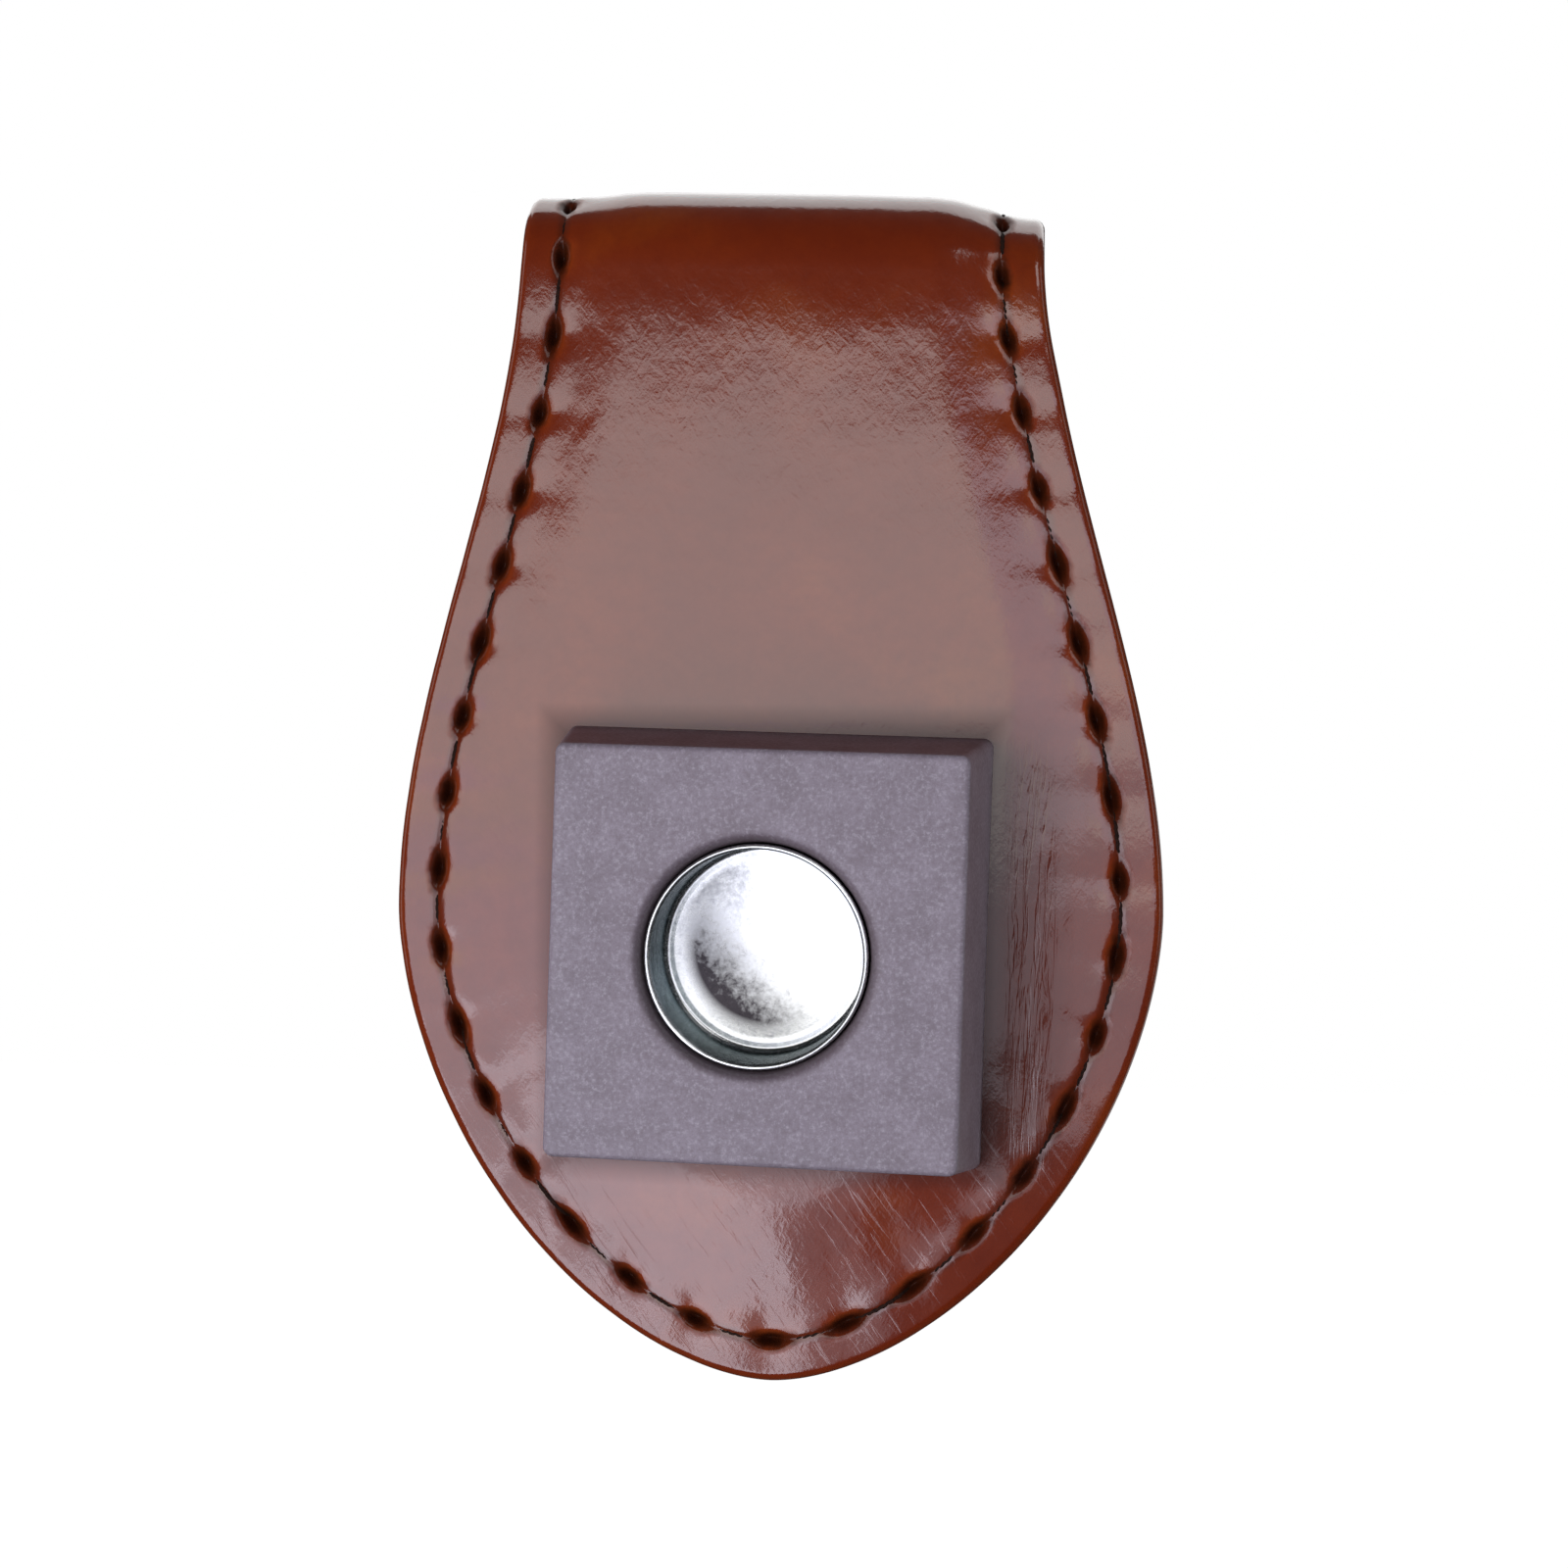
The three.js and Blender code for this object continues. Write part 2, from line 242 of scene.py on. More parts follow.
def new_object(name, points, faces, uv=None):
    """A smooth-shaded mesh object from points in millimetres, with strap coordinates if given."""
    mesh = bpy.data.meshes.new(name)
    mesh.from_pydata((np.asarray(points) * MM).tolist(), [], faces)
    if uv is not None:
        layer = mesh.uv_layers.new(name="strap")
        loops = np.zeros(len(mesh.loops), np.int32)
        mesh.loops.foreach_get("vertex_index", loops)
        layer.data.foreach_set("uv", np.asarray(uv, np.float32)[loops].ravel())
    mesh.polygons.foreach_set("use_smooth", [True] * len(mesh.polygons))
    obj = bpy.data.objects.new(name, mesh)
    bpy.context.scene.collection.objects.link(obj)
    return obj


def tidy_normals(obj):
    """Merges the doubled points and turns every face outward."""
    work = bmesh.new()
    work.from_mesh(obj.data)
    bmesh.ops.remove_doubles(work, verts=work.verts, dist=2e-7)
    bmesh.ops.dissolve_degenerate(work, edges=work.edges, dist=1e-8)
    bmesh.ops.recalc_face_normals(work, faces=work.faces)
    work.to_mesh(obj.data)
    work.free()
    return obj


def point_values(obj, name, values):
    """Stores one number per point, for a material to read."""
    attribute = obj.data.attributes.new(name, "FLOAT", "POINT")
    attribute.data.foreach_set("value", np.asarray(values, np.float32))


def loft(rings, close_rows=False):
    """Quads between rings of equal counts, each ring closed."""
    rings = np.asarray(rings)
    rows, count = rings.shape[:2]
    faces = []
    for r in range(rows if close_rows else rows - 1):
        low, high = r * count, ((r + 1) % rows) * count
        faces += [(low + k, low + (k + 1) % count, high + (k + 1) % count, high + k) for k in range(count)]
    return rings.reshape(-1, 3), faces


# ---- The strap's layers ----------------------------------------------------------------------

# The stitch holes, how much they vary in place and size, the rounding of the leather's edge, and how far the
# fine columns reach on either side of the seam.
HOLE_HALF_LENGTH = 0.66
HOLE_HALF_WIDTH = 0.27
HOLE_DEPTH = 0.8
HOLE_SHIFT = 0.12
HOLE_SIZES = (0.82, 1.2)
EDGE_ROUND = 0.6
SEAM_BAND = 2.0


def distance_to_holes(rows):
    """Each row's distance along the seam to its hole, on either side, in holes of slightly varied size."""
    holes = stitch_holes(rows)
    near = np.abs(rows.run[:, None] - holes[None, :]).argmin(1)
    vary = np.random.default_rng(3)
    distance = {}
    for side in (1, -1):
        shift = vary.uniform(-HOLE_SHIFT, HOLE_SHIFT, len(holes))
        size = vary.uniform(*HOLE_SIZES, len(holes))
        distance[side] = np.abs(rows.run - holes[near] + shift[near]) / size[near]
    return distance


def strap_layer(name, rows, face, back, edge_out):
    """A closed sheet over the front flap, the fold and the back flap.

    face and back give a surface's height from (x, s, inset, to_hole). edge_out is the edge's own section,
    as (inset, share of the way from the face to the back). The face is finely divided, most finely at the
    seam, and the back coarsely.
    """
    to_hole = distance_to_holes(rows)
    from_seam = np.linspace(-0.88, 1, 22)
    about_seam = SEAM + SEAM_BAND * np.sign(from_seam) * np.abs(from_seam) ** 1.8
    band = np.concatenate([np.linspace(0.02, EDGE_ROUND, 6), about_seam])
    inner = (np.linspace(0, 1, 31)[1:]) ** 1.25
    coarse_band = np.array([0.35, 1.2, 2.2, 3.0, 3.7])
    coarse_inner = np.linspace(0, 1, 5)[1:]

    def columns(band, inner):
        insets = [np.minimum(np.full(len(rows.edge), e), rows.depth) for e in band]
        last = insets[-1]
        insets += [last + (rows.depth - last) * f for f in inner]
        return np.stack(insets, 1)

    def surface(insets, height, side):
        xs, ss, hs = [], [], []
        for column in insets.T:
            flat = rows.at(column)
            x = flat[:, 0] * side
            xs.append(x)
            ss.append(flat[:, 1])
            hs.append(height(x, flat[:, 1], column, to_hole[side]))
        return np.stack([np.stack(xs, 1), np.stack(ss, 1), np.stack(hs, 1), insets], -1)

    def edge_columns(side):
        top = surface(columns([band[0]], []), face, side)[:, 0]
        low = surface(columns([coarse_band[0]], []), back, side)[:, 0]
        made = []
        for inset, share in edge_out:
            flat = rows.at(np.full(len(rows.edge), inset))
            height = top[:, 2] + (low[:, 2] - top[:, 2]) * share
            made.append(np.stack([flat[:, 0] * side, flat[:, 1], height, np.zeros(len(flat))], -1))
        return np.stack(made, 1)

    fine, coarse = columns(band, inner), columns(coarse_band, coarse_inner)
    ring = []
    for side in (1, -1):
        over = surface(fine, face, side)[:, ::-1]
        under = surface(coarse, back, side)
        half = np.concatenate([over, edge_columns(side), under], 1)
        ring.append(half if side == 1 else half[:, ::-1])
    right, left = ring
    grid = np.concatenate([right, left[:, 1:-1]], 1)
    count_rows, count = grid.shape[:2]
    points = place(grid[..., 0], grid[..., 1], grid[..., 2]).reshape(-1, 3)
    faces = []
    for r in range(count_rows - 1):
        low, high = r * count, (r + 1) * count
        faces += [(low + k, low + (k + 1) % count, high + (k + 1) % count, high + k) for k in range(count)]
    uv = grid[..., :2].reshape(-1, 2)
    obj = new_object(name, points, faces, uv)
    point_values(obj, "inset", grid[..., 3].ravel())
    across = grid[..., 0] >= 0
    point_values(obj, "to_hole", np.where(across, to_hole[1][:, None], to_hole[-1][:, None]).ravel())
    return tidy_normals(obj)


def beside_block(x, s):
    """Distance outside the block's square on the front flap; large elsewhere."""
    outside = np.maximum(np.abs(x), np.abs(s - BLOCK_V)) - BLOCK_HALF
    return np.where(s < FOLD_LENGTH / 2, outside, 99.0)


# Creases pressed into the front flap: middle (x, s), heading in degrees, half-length and half-width of the
# patch, spacing of the folds and their height.
CREASES = (
    (15.2, -42.0, 88, 12.0, 1.6, 0.80, 0.050),
    (14.0, -53.5, 62, 4.5, 1.8, 0.80, 0.050),
    (-2.0, -56.5, 140, 7.0, 3.0, 1.00, 0.010),
    (-10.6, -9.5, 55, 2.6, 1.6, 0.60, 0.012),
)


def creases(x, s):
    """Height of the creases, in long ridges that wander and fade."""
    total = np.zeros(len(x))
    for k, (cx, cs, heading, half_length, half_across, spacing, height) in enumerate(CREASES):
        turn = math.radians(heading)
        along = (x - cx) * math.cos(turn) + (s - cs) * math.sin(turn)
        across = (s - cs) * math.cos(turn) - (x - cx) * math.sin(turn)
        near = bump(along / half_length) * bump(across / half_across)
        active = near > 0.02
        if not active.any():
            continue
        pts = np.stack([along[active] / (8 * spacing), across[active] / spacing], 1)
        wander = noise_at(pts, k + 1)
        total[active] += near[active] * height * (1 - 3.2 * np.abs(wander))
    return total


# The band of small cross creases at either end of the fold, and how the leather leans in as it nears it.
FOLD_CREASE_DEPTH = 1.8
FOLD_CREASE_HALF_WIDTH = 2.2
FOLD_CREASE_HEIGHT = 0.012
LEAN = 0.09
LEAN_LENGTH = 4


def fold_creases(x, s):
    """Short slanting creases where the leather starts to bend into the fold, front and back."""
    front = np.minimum(s, FOLD_LENGTH - s)
    band = bump((front + FOLD_CREASE_DEPTH) / FOLD_CREASE_HALF_WIDTH)
    active = band > 0.03
    total = np.zeros(len(x))
    if active.any():
        slant = x[active] + 0.6 * front[active]
        pts = np.stack([slant / 0.8, front[active] / 2.6], 1)
        total[active] = band[active] * FOLD_CREASE_HEIGHT * noise_at(pts, 20)
    return total


def lean_into_fold(s):
    """How far the leather has leaned in by the time it reaches the fold."""
    front = np.minimum(s, FOLD_LENGTH - s)
    return LEAN * np.clip((front + LEAN_LENGTH) / LEAN_LENGTH, 0, 1) ** 2


def rounded_edge(inset, radius):
    """How far a rounded edge falls below the face."""
    lift = np.clip(radius - inset, 0, radius)
    return radius - np.sqrt(radius**2 - lift**2)


# The leather's face, as heights and the distances they take. It is puffed up inside the seam, more so in the
# bulb, pinched at the seam, and puckered, dimpled and pitted at the stitch holes.
PUFF = 0.12
PUFF_START = 4
PUFF_REACH = 5
BULB_PUFF = 0.22
BULB_START = 20
BULB_REACH = 16
PINCH = 0.10
PINCH_REACH = 0.7
RISE_REACH = 4.4
BULB_RISE_REACH = 3.4
PUCKER = 0.04
PUCKER_INSET = 3.1
PUCKER_HALF_WIDTH = 0.6
THREAD_GROOVE = 0.06
GROOVE_HALF_WIDTH = 0.15
DIMPLE = 0.07
DIMPLE_OFFSET = 0.3
DIMPLE_HALF_LENGTH = 0.9
DIMPLE_HALF_WIDTH = 0.6
SLUMP = 0.22
SLUMP_X = 13
SLUMP_DOWN = -56
SLUMP_REACH = 8
OPEN_INSET = 2.7
RIPPLE = 0.02
RIPPLE_SIZE = 4.5
BLOCK_DENT = 0.02
BLOCK_DENT_WIDTH = 0.7

# Heights of the layers under the leather's face, and how far inside the edge the padding starts.
LEATHER_BACK = 3.3
PADDING_POCKET = 1.1
LINING_RIM = 2.86
LINING_BULGE = 0.36
LINING_BACK = 3.24
LINING_EDGE_ROUND = 0.2
PADDING_INSET = 3.45
PADDING_EDGE_FACE = 3.9
PADDING_EDGE_BACK = 3.55


def leather_face(x, s, inset, to_hole):
    down = np.minimum(s, FOLD_LENGTH - s)
    from_seam = inset - SEAM
    bulb = smooth((-down - BULB_START) / BULB_REACH)
    low_down = smooth((BLOCK_V - BLOCK_HALF / 2 - down) / 8)
    between_holes = 1 - bump(to_hole)
    rim = RIM + PUCKER * between_holes
    puff = PUFF * (1 - np.exp(-np.maximum(inset - PUFF_START, 0) / PUFF_REACH)) + BULB_PUFF * bulb
    crown = OUTER + puff - lean_into_fold(s)
    pinched = PINCH * (1 - low_down)
    reach = RISE_REACH + BULB_RISE_REACH * bulb
    rise = pinched * smooth(from_seam / PINCH_REACH) + (1 - pinched) * smooth(from_seam / reach)
    height = rim + (crown - rim) * rise
    height += PUCKER * between_holes * bump((inset - PUCKER_INSET) / PUCKER_HALF_WIDTH)
    height -= THREAD_GROOVE * bump(from_seam / GROOVE_HALF_WIDTH)
    slumped = bump((x - SLUMP_X) / SLUMP_REACH) * bump((down - SLUMP_DOWN) / SLUMP_REACH)
    height -= SLUMP * slumped * np.maximum(-from_seam, 0)
    dimple = DIMPLE * bump(to_hole / DIMPLE_HALF_LENGTH)
    height -= dimple * bump((from_seam - DIMPLE_OFFSET) / DIMPLE_HALF_WIDTH)
    height -= HOLE_DEPTH * bump(to_hole / HOLE_HALF_LENGTH) * bump(from_seam / HOLE_HALF_WIDTH)
    height -= rounded_edge(inset, EDGE_ROUND)
    clear_of_block = smooth(beside_block(x, s) / BLOCK_DENT_WIDTH)
    open_leather = clear_of_block * smooth((inset - OPEN_INSET) / 0.8)
    height += creases(x, s) * open_leather
    height += fold_creases(x, s) * smooth((inset - OPEN_INSET) / 1.2)
    height += RIPPLE * noise_at(np.stack([x, s], 1) / RIPPLE_SIZE, 30) * open_leather
    height -= BLOCK_DENT * (1 - clear_of_block)
    return height


def leather_back(x, s, inset, to_hole):
    return LEATHER_BACK + PADDING_POCKET * smooth((inset - 3.0) / 0.6)


def lining_face(x, s, inset, to_hole):
    """The lining's free side, which faces the other flap: drawn in by the bobbin thread's holes."""
    from_seam = inset - SEAM
    height = LINING_RIM - LINING_BULGE * smooth((inset - 2.65) / 0.9)
    height += 0.16 * bump(from_seam / 0.3) + 0.35 * bump(to_hole / 0.5) * bump(from_seam / 0.35)
    height += rounded_edge(inset, LINING_EDGE_ROUND)
    height += RIPPLE * noise_at(np.stack([x, s], 1) / 3.0, 40) * smooth(inset - 3)
    return height


def lining_back(x, s, inset, to_hole):
    return LINING_BACK - 0.2 * smooth((inset - 3.0) / 0.5)


def padding_face(x, s, inset, to_hole):
    filled = 0.36 * smooth((inset - PADDING_INSET) / 0.5)
    return PADDING_EDGE_FACE + filled + RIPPLE * noise_at(np.stack([x, s], 1), 50)


def padding_back(x, s, inset, to_hole):
    return PADDING_EDGE_BACK - 0.3 * smooth((inset - PADDING_INSET) / 0.4)


def build_strap():
    """The leather and its rows, which the seam follows too, then the lining and the padding."""
    rows = Rows(step=0.28)
    leather_edge = ((0.0, 0.12), (0.0, 0.4), (0.0, 0.7), (0.06, 0.92))
    leather = strap_layer("leather_strap", rows, leather_face, leather_back, leather_edge)
    lining_edge = ((0.12, 0.25), (0.12, 0.8))
    lining = strap_layer("strap_lining", Rows(step=0.42), lining_face, lining_back, lining_edge)
    padding_edge = ((PADDING_INSET, 0.5),)
    padding = strap_layer("strap_padding", Rows(step=0.9), padding_face, padding_back, padding_edge)
    return rows, leather, lining, padding


# ---- Threads ---------------------------------------------------------------------------------

# The thread's plies, their turns in each stitch, the gap left at each hole, and how much stitches differ in
# height.
PLIES = 3
TURNS = 3.0
HOLE_GAP = 0.1
STITCH_JITTER = 0.04


def thread_stitch(rows, start, end, height_at, radius, sides, steps, side, turns):
    """One stitch of twisted thread along the seam between two holes, as points and faces."""
    seam = rows.at(np.full(len(rows.edge), SEAM))
    run = np.linspace(start, end, steps)
    x = np.interp(run, rows.run, seam[:, 0]) * side
    s = np.interp(run, rows.run, seam[:, 1])
    share = np.linspace(0, 1, steps)
    height = height_at(share)
    centre = place(x, s, height)
    outward = place(x, s, height + 1) - centre
    along = np.gradient(centre, axis=0)
    along /= np.linalg.norm(along, axis=1)[:, None]
    across = np.cross(along, outward)
    across /= np.linalg.norm(across, axis=1)[:, None]
    upright = np.cross(across, along)
    angle = np.linspace(0, 2 * math.pi, sides, endpoint=False)
    rings = []
    for k in range(steps):
        taper = 1 - 0.45 * abs(2 * share[k] - 1) ** 6
        twisted = angle - turns * 2 * math.pi * share[k]
        lobes = radius * taper * (0.74 + 0.32 * np.abs(np.cos(PLIES / 2 * twisted)))
        sideways = np.outer(lobes * np.cos(angle), across[k])
        outwards = np.outer(lobes * np.sin(angle), upright[k])
        rings.append(centre[k] + sideways + outwards)
    points, faces = loft(rings)
    faces.append(tuple(range(sides))[::-1])
    faces.append(tuple(range(len(points) - sides, len(points))))
    return points, faces


def build_thread(name, rows, height_at, radius, sides, steps):
    """Every stitch of one thread, on both sides of the strap. height_at gives the height along a stitch."""
    holes = stitch_holes(rows)
    points, faces = [], []
    for side in (1, -1):
        for first, second in zip(holes[:-1], holes[1:]):
            jitter = rng.uniform(-STITCH_JITTER, STITCH_JITTER)
            made, made_faces = thread_stitch(
                rows, first + HOLE_GAP, second - HOLE_GAP, lambda t: height_at(t) + jitter,
                radius, sides, steps, side, TURNS * side,
            )
            offset = sum(len(p) for p in points)
            points.append(made)
            faces += [tuple(offset + k for k in face) for face in made_faces]
    obj = new_object(name, np.concatenate(points), faces)
    return tidy_normals(obj)


def needle_height(t):
    """The needle thread lies on the leather's rim and dives into a hole at each end of a stitch."""
    return RIM - 0.12 - 1.45 * np.abs(2 * t - 1) ** 3.2


def bobbin_height(t):
    """The bobbin thread lies on the lining and is drawn outward at each hole."""
    return 2.72 + 0.6 * np.abs(2 * t - 1) ** 6


# ---- The seat block --------------------------------------------------------------------------


def rounded_square(half, radius, flat_steps=26, corner_steps=12):
    """Points round a square with round corners, anticlockwise."""
    points = []
    flat = half - radius
    for quarter in range(4):
        turn = quarter * math.pi / 2
        side = np.stack([np.full(flat_steps, half), np.linspace(-flat, flat, flat_steps)], 1)
        angle = np.linspace(0, math.pi / 2, corner_steps + 2)[1:-1]
        bend = np.stack([flat + radius * np.cos(angle), flat + radius * np.sin(angle)], 1)
        part = np.concatenate([side, bend])
        c, s = math.cos(turn), math.sin(turn)
        points.append(np.stack([part[:, 0] * c - part[:, 1] * s, part[:, 0] * s + part[:, 1] * c], 1))
    return np.concatenate(points)


def circle_like(points, radius):
    """Points of a circle in the same directions as the given points."""
    angle = np.arctan2(points[:, 1], points[:, 0])
    return np.stack([radius * np.cos(angle), radius * np.sin(angle)], 1)


def on_front(flat, height):
    """Flat points about the seat's axis, at a height on the front flap."""
    c, s = math.cos(BLOCK_TWIST), math.sin(BLOCK_TWIST)
    x, v = flat[:, 0] * c - flat[:, 1] * s, flat[:, 0] * s + flat[:, 1] * c
    return np.stack([x, np.full(len(x), -height), v + BLOCK_V + AXIS_Z], 1)


def build_block():
    """The moulded block: drafted sides, a rounded edge, a flat face and a flared bore right through it."""
    corner_radius = 0.55
    edge_round = 0.34
    face = BLOCK_FACE
    draft = (BLOCK_HALF - FACE_HALF) / (face - BLOCK_SEAT)

    def square(height, shrink=0.0):
        half = BLOCK_HALF - draft * (height - BLOCK_SEAT) - shrink
        return rounded_square(half, max(corner_radius - shrink, 0.25))

    rings = [on_front(square(height), height) for height in np.linspace(BLOCK_SEAT, face - edge_round, 12)]
    for angle in np.linspace(0, math.pi / 2, 7)[1:]:
        height = face - edge_round + edge_round * math.sin(angle)
        rings.append(on_front(square(face - edge_round, edge_round * (1 - math.cos(angle))), height))
    outer = square(face - edge_round, edge_round)
    mouth = BORE + MOUTH_WIDTH
    for share in np.linspace(0, 1, 15)[1:]:
        flat = outer * (1 - share) + circle_like(outer, mouth) * share
        rings.append(on_front(flat, face))
    for angle in np.linspace(0, math.pi / 2, 11)[1:]:
        radius = mouth - MOUTH_WIDTH * math.sin(angle)
        rings.append(on_front(circle_like(outer, radius), face - MOUTH_DEPTH * (1 - math.cos(angle))))
    for height in np.linspace(face - MOUTH_DEPTH, BLOCK_SEAT, 8)[1:]:
        rings.append(on_front(circle_like(outer, BORE), height))
    points, faces = loft(rings, close_rows=True)
    return tidy_normals(new_object("seat_block_moulding", points, faces))


def build_cup():
    """The drawn cup: a rolled lip, a straight wall, a round corner and a dished floor."""
    segments = 160
    lip_round = 0.15
    inner = CUP_OUTER - 2 * lip_round
    low = 6.3
    outer_corner = 0.7
    fillet = 0.28
    flat_ring = 0.3
    dish = 0.5

    def arc(radius, height, size, start, end, count):
        angles = np.linspace(start, end, count)[1:]
        return [(radius + size * math.cos(a), height + size * math.sin(a)) for a in angles]

    profile = [(r, low) for r in np.linspace(0, CUP_OUTER - outer_corner, 8)]
    profile += arc(CUP_OUTER - outer_corner, low + outer_corner, outer_corner, -math.pi / 2, 0, 9)
    profile += [(CUP_OUTER, h) for h in np.linspace(low + outer_corner, CUP_LIP - lip_round, 12)[1:]]
    profile += arc(CUP_OUTER - lip_round, CUP_LIP - lip_round, lip_round, 0, math.pi, 13)
    profile += [(inner, h) for h in np.linspace(CUP_LIP - lip_round, CUP_FLOOR + fillet, 14)[1:]]
    profile += arc(inner - fillet, CUP_FLOOR + fillet, fillet, 0, -math.pi / 2, 13)
    dish_edge = inner - fillet - flat_ring
    profile += [(r, CUP_FLOOR) for r in np.linspace(inner - fillet, dish_edge, 5)[1:]]
    for r in np.linspace(dish_edge, 0, 18)[1:]:
        profile.append((r, CUP_FLOOR - dish * (1 - (r / dish_edge) ** 2.2)))
    angle = np.linspace(0, 2 * math.pi, segments, endpoint=False)
    rings = [on_front(np.stack([r * np.cos(angle), r * np.sin(angle)], 1), h) for r, h in profile]
    points, faces = loft(rings)
    return tidy_normals(new_object("socket_cup_drawn", points, faces))


# ---- Materials -------------------------------------------------------------------------------


class Nodes:
    """A short way to write a material's nodes."""

    def __init__(self, name):
        self.material = bpy.data.materials.new(name)
        self.material.use_nodes = True
        self.tree = self.material.node_tree
        self.shader = self.tree.nodes["Principled BSDF"]

    def add(self, kind, inputs=None, **settings):
        node = self.tree.nodes.new("ShaderNode" + kind)
        for key, value in settings.items():
            setattr(node, key, value)
        for key, value in (inputs or {}).items():
            self.put(node.inputs[key], value)
        return node

    def put(self, socket, value):
        if isinstance(value, bpy.types.NodeSocket):
            self.tree.links.new(value, socket)
        else:
            socket.default_value = value

    def set(self, **inputs):
        for key, value in inputs.items():
            self.put(self.shader.inputs[key.replace("_", " ")], value)

    def math(self, operation, a, b=0.0, c=0.0):
        node = self.add("Math", operation=operation)
        for socket, value in zip(node.inputs, (a, b, c)):
            self.put(socket, value)
        return node.outputs[0]

    def times(self, a, b):
        return self.math("MULTIPLY", a, b)

    def noise(self, vector, scale, detail=3.0, roughness=0.5, distortion=0.0):
        node = self.add("TexNoise", {"Vector": vector, "Scale": scale, "Detail": detail})
        self.put(node.inputs["Roughness"], roughness)
        self.put(node.inputs["Distortion"], distortion)
        return node.outputs["Fac"]

    def ramp(self, value, stops):
        node = self.add("ValToRGB", {"Fac": value})
        elements = node.color_ramp.elements
        while len(elements) < len(stops):
            elements.new(0.5)
        for element, (position, colour) in zip(elements, stops):
            element.position = position
            element.color = (*colour, 1)
        return node.outputs["Color"]

    def remap(self, value, low, high, to_low=0.0, to_high=1.0):
        """to_low at low, to_high at high, in a straight line between and level beyond."""
        node = self.add("MapRange", {"Value": value, "From Min": low, "From Max": high})
        self.put(node.inputs["To Min"], to_low)
        self.put(node.inputs["To Max"], to_high)
        return node.outputs["Result"]

    def near(self, value, centre, inner, outer):
        """1 within inner of the centre, 0 beyond outer."""
        return self.remap(self.math("ABSOLUTE", self.math("SUBTRACT", value, centre)), inner, outer, 1, 0)

    def mix(self, factor, a, b):
        """Colour a at factor 0 and colour b at factor 1."""
        node = self.add("Mix", data_type="RGBA")
        self.put(node.inputs["Factor"], factor)
        self.put(node.inputs[6], (*a, 1) if isinstance(a, tuple) else a)
        self.put(node.inputs[7], (*b, 1) if isinstance(b, tuple) else b)
        return node.outputs[2]

    def stretched(self, vector, scale, turn=0.0):
        """A place turned and then scaled, for grain that runs one way."""
        turned = self.add("Mapping", {"Vector": vector, "Rotation": (0, 0, turn)})
        node = self.add("Mapping", {"Vector": turned.outputs["Vector"], "Scale": scale})
        return node.outputs["Vector"]

    def bump(self, height, strength, distance):
        node = self.add("Bump", {"Height": height, "Strength": strength, "Distance": distance})
        return node.outputs["Normal"]

    def place(self):
        return self.add("TexCoord").outputs["Object"]

    def seat(self):
        """Distances in millimetres from the seat's axis: to the right, up, and away from it."""
        parts = self.add("SeparateXYZ", {"Vector": self.place()}).outputs
        right = self.math("MULTIPLY", parts["X"], 1 / MM)
        up = self.math("SUBTRACT", self.math("MULTIPLY", parts["Z"], 1 / MM), BLOCK_V + AXIS_Z)
        squares = self.math("ADD", self.math("MULTIPLY", right, right), self.math("MULTIPLY", up, up))
        return right, up, self.math("SQRT", squares)

    def strap(self):
        return self.add("UVMap", uv_map="strap").outputs["UV"]

    def value(self, name):
        return self.add("Attribute", attribute_name=name).outputs["Fac"]


# The leather's colours: its body from deep to light, the blotches in it, a painted highlight round each
# hole, the seam's line, painted shade in the holes, painted shade close to the block, the block's painted
# plum shadow to its right, and the edge paint.
LEATHER_DEEP = (0.165, 0.016, 0.0012)
LEATHER_BODY = (0.200, 0.022, 0.0015)
LEATHER_LIGHT = (0.265, 0.044, 0.0022)
LEATHER_BLOTCH = (0.130, 0.011, 0.0010)
HOLE_HIGHLIGHT = (0.34, 0.058, 0.006)
SEAM_LINE = (0.080, 0.012, 0.003)
PIT_SHADE = (0.036, 0.007, 0.002)
BLOCK_SHADE = (0.045, 0.014, 0.013)
BLOCK_SHADOW_RIGHT = (0.060, 0.020, 0.018)
EDGE_PAINT = (0.22, 0.040, 0.009)
PIT_HALF_LENGTH = 1.0
PIT_HALF_WIDTH = 0.46


